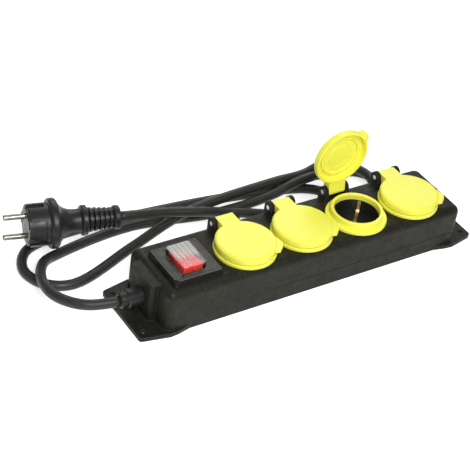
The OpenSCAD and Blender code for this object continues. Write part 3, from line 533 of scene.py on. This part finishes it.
def boot_clear():
    """Soft clear boot, ribbed along Y: frosted over its back, clear in front where it lies on the rocker,
    with painted shade in its grooves and on its walls.
    """
    skin = Surface("boot_clear", (0.99, 0.99, 0.985), Transmission_Weight=0.9, IOR=1.1)
    rib = skin.bands("X", BOOT_RIB_PITCH)
    groove = skin.ramp(rib, low=0.05, high=0.5, to_low=0.6, to_high=0.0)
    reach = skin.combine("ADD", skin.along("Y"), skin.times(rib, BOOT_RIB_REACH))
    back = skin.ramp(reach, *BOOT_FROST_Y)
    top = skin.ramp(skin.along("Z"), *BOOT_TOP_Z)
    cross = skin.ramp(skin.bands("Y", BOOT_CROSS_PITCH), low=0.2, high=0.8, to_low=0.75)
    shade = skin.ramp(skin.along("Y"), *BOOT_SHADE_Y, to_high=0.8)
    haze = skin.ramp(back, low=0.0, high=1.0, to_low=0.19, to_high=0.62)
    frost = skin.times(skin.times(haze, cross), top)
    skin.link(skin.rest(frost), skin.shader.inputs["Transmission Weight"])
    skin.tint(skin.times(back, top), (0.88, 0.89, 0.84))
    # Painted shade in the grooves.
    skin.tint(skin.times(groove, back), (0.5, 0.48, 0.46))
    # Painted shade on the walls, towards the back.
    skin.tint(skin.times(skin.rest(top), shade), (0.3, 0.25, 0.25))
    skin.vary_rough(220, detail=3, low=0.1, high=0.22)
    return skin.done()


def metal(name, colour, rough, streak, painted_dark_outline=0.0):
    """Plated or bare metal with drawn-out polishing marks; where given, a painted dark reflection at its
    outline.
    """
    skin = Surface(name, colour, Metallic=1.0)
    skin.round_edges(radius=0.0002)
    skin.grain(400, detail=3, depth=0.00002, strength=0.5, stretch=streak)
    skin.mottle(scaled(colour, 0.6), 180, detail=4, start=0.45, full=0.75, amount=0.6)
    if painted_dark_outline:
        # Painted reflection: darker at the outline, by the viewing angle.
        skin.tint(skin.ramp(skin.grazing(), low=0.3, high=0.75, to_high=painted_dark_outline), (0.08, 0.075, 0.055))
    skin.vary_rough(300, detail=3, low=0.75 * rough, high=1.5 * rough, stretch=streak)
    return skin.done()


def sleeve(name, colour):
    """Smooth conductor insulation."""
    skin = Surface(name, colour)
    skin.grain(900, detail=2, depth=0.00002, strength=0.4)
    skin.mottle(scaled(colour, 1.5, lift=0.01), 140, detail=3, start=0.45, full=0.8, amount=0.3)
    skin.vary_rough(240, detail=3, low=0.32, high=0.5)
    return skin.done()


METALS = {
    "steel": dict(colour=(0.5, 0.5, 0.49), rough=0.32, streak=(1, 1, 6)),
    "pin_steel": dict(colour=(0.85, 0.85, 0.84), rough=0.35, streak=(6, 1, 1)),
    "nickel": dict(colour=(0.34, 0.33, 0.28), rough=0.28, streak=(0.3, 3, 3), painted_dark_outline=0.9),
    "clip_brass": dict(colour=(0.42, 0.32, 0.16), rough=0.3, streak=(3, 3, 0.3)),
    "brass": dict(colour=(0.8, 0.58, 0.26), rough=0.3, streak=(0.3, 4, 4)),
}
SLEEVES = {
    "wire_brown": (0.2, 0.08, 0.03),
    "wire_black": (0.02, 0.02, 0.02),
    "wire_blue": (0.03, 0.12, 0.45),
    "wire_green": (0.35, 0.5, 0.05),
}
# Nodes whose finish differs from that of the other pieces of their slot
OWN_FINISHES = {
    "bezel_black": ["switch_bezel"],
    "plug_black": ["plug_body", "plug_insert", "cord_bushing"],
    "pin_steel": [f"hinge_pin_{k}" for k in SOCKETS],
    "clip_brass": [f"earth_clip_{k}" for k in SOCKETS],
}


def make_surfaces():
    """The material of each slot of the record, and of each finish of its own."""
    return {
        "body_black": body_black(),
        "bezel_black": bezel_black(),
        "inner_black": inner_black(),
        "rubber_black": rubber_black(),
        "plug_black": plug_black(),
        "lid_yellow": lid_yellow(),
        "rocker_red": rocker_red(),
        "boot_clear": boot_clear(),
        **{name: metal(name, **values) for name, values in METALS.items()},
        **{name: sleeve(name, colour) for name, colour in SLEEVES.items()},
    }


def dress(surfaces, cord):
    """Gives every CAD node the finish of its slot or its own, and the cord a finish with lines along it."""
    own = {node: finish for finish, nodes in OWN_FINISHES.items() for node in nodes}
    for part in frame["record"]["subparts"]:
        node = frame["nodes"][part["node"]]
        surface = surfaces[own.get(part["node"], part["material_slot"])]
        for slot in node.material_slots:
            slot.material = surface
        if not node.material_slots:
            node.data.materials.append(surface)
    cord.data.materials.append(rubber_black("rubber_cord", drawn=True))


# ---------- Studio ----------

FLOOR_SIZE = 6.0
# Just below what lies on it
FLOOR_Z = -0.0003
FLOOR_ALBEDO = 0.8
# Glow that turns the lit floor white where it is seen, and leaves its shadows
FLOOR_LIFT = 0.7
WORLD_LEVEL = 0.36
LAMPS = [
    dict(name="key", place=(-0.3, -0.75, 0.9), size=0.6, watts=10.2, target=(-0.1, 0, 0.03)),
    dict(name="back", place=(0.75, 1.1, 1.05), size=1.1, watts=7.0, target=(0, 0.05, 0.03)),
]


def make_floor():
    """A wide white floor that keeps the soft shadow of what lies on it."""
    bpy.ops.mesh.primitive_plane_add(size=FLOOR_SIZE, location=(0, 0, FLOOR_Z))
    floor = bpy.context.active_object
    floor.name = "floor"
    skin = Surface("floor", grey(FLOOR_ALBEDO), Roughness=0.9, Specular_IOR_Level=0.1,
                   Emission_Color=WHITE)
    skin.link(skin.times(skin.seen(), FLOOR_LIFT), skin.shader.inputs["Emission Strength"])
    floor.data.materials.append(skin.done())


def make_world():
    """Plain surroundings; the white floor is the background of the main view."""
    world = bpy.data.worlds.new("studio")
    bpy.context.scene.world = world
    world.use_nodes = True
    background = world.node_tree.nodes["Background"]
    background.inputs["Color"].default_value = WHITE
    background.inputs["Strength"].default_value = WORLD_LEVEL


def make_lamp(name, place, size, watts, target):
    """A round softbox aimed at a point."""
    data = bpy.data.lights.new(name, "AREA")
    data.shape = "DISK"
    data.size = size
    data.energy = watts
    lamp = add_object(name, data)
    lamp.location = place
    aim(lamp, Vector(target) - Vector(place))


make_camera()
free_cord = make_cord()
dress(make_surfaces(), free_cord)
make_floor()
make_world()
for lamp in LAMPS:
    make_lamp(**lamp)
bpy.context.scene.view_settings.view_transform = "Standard"
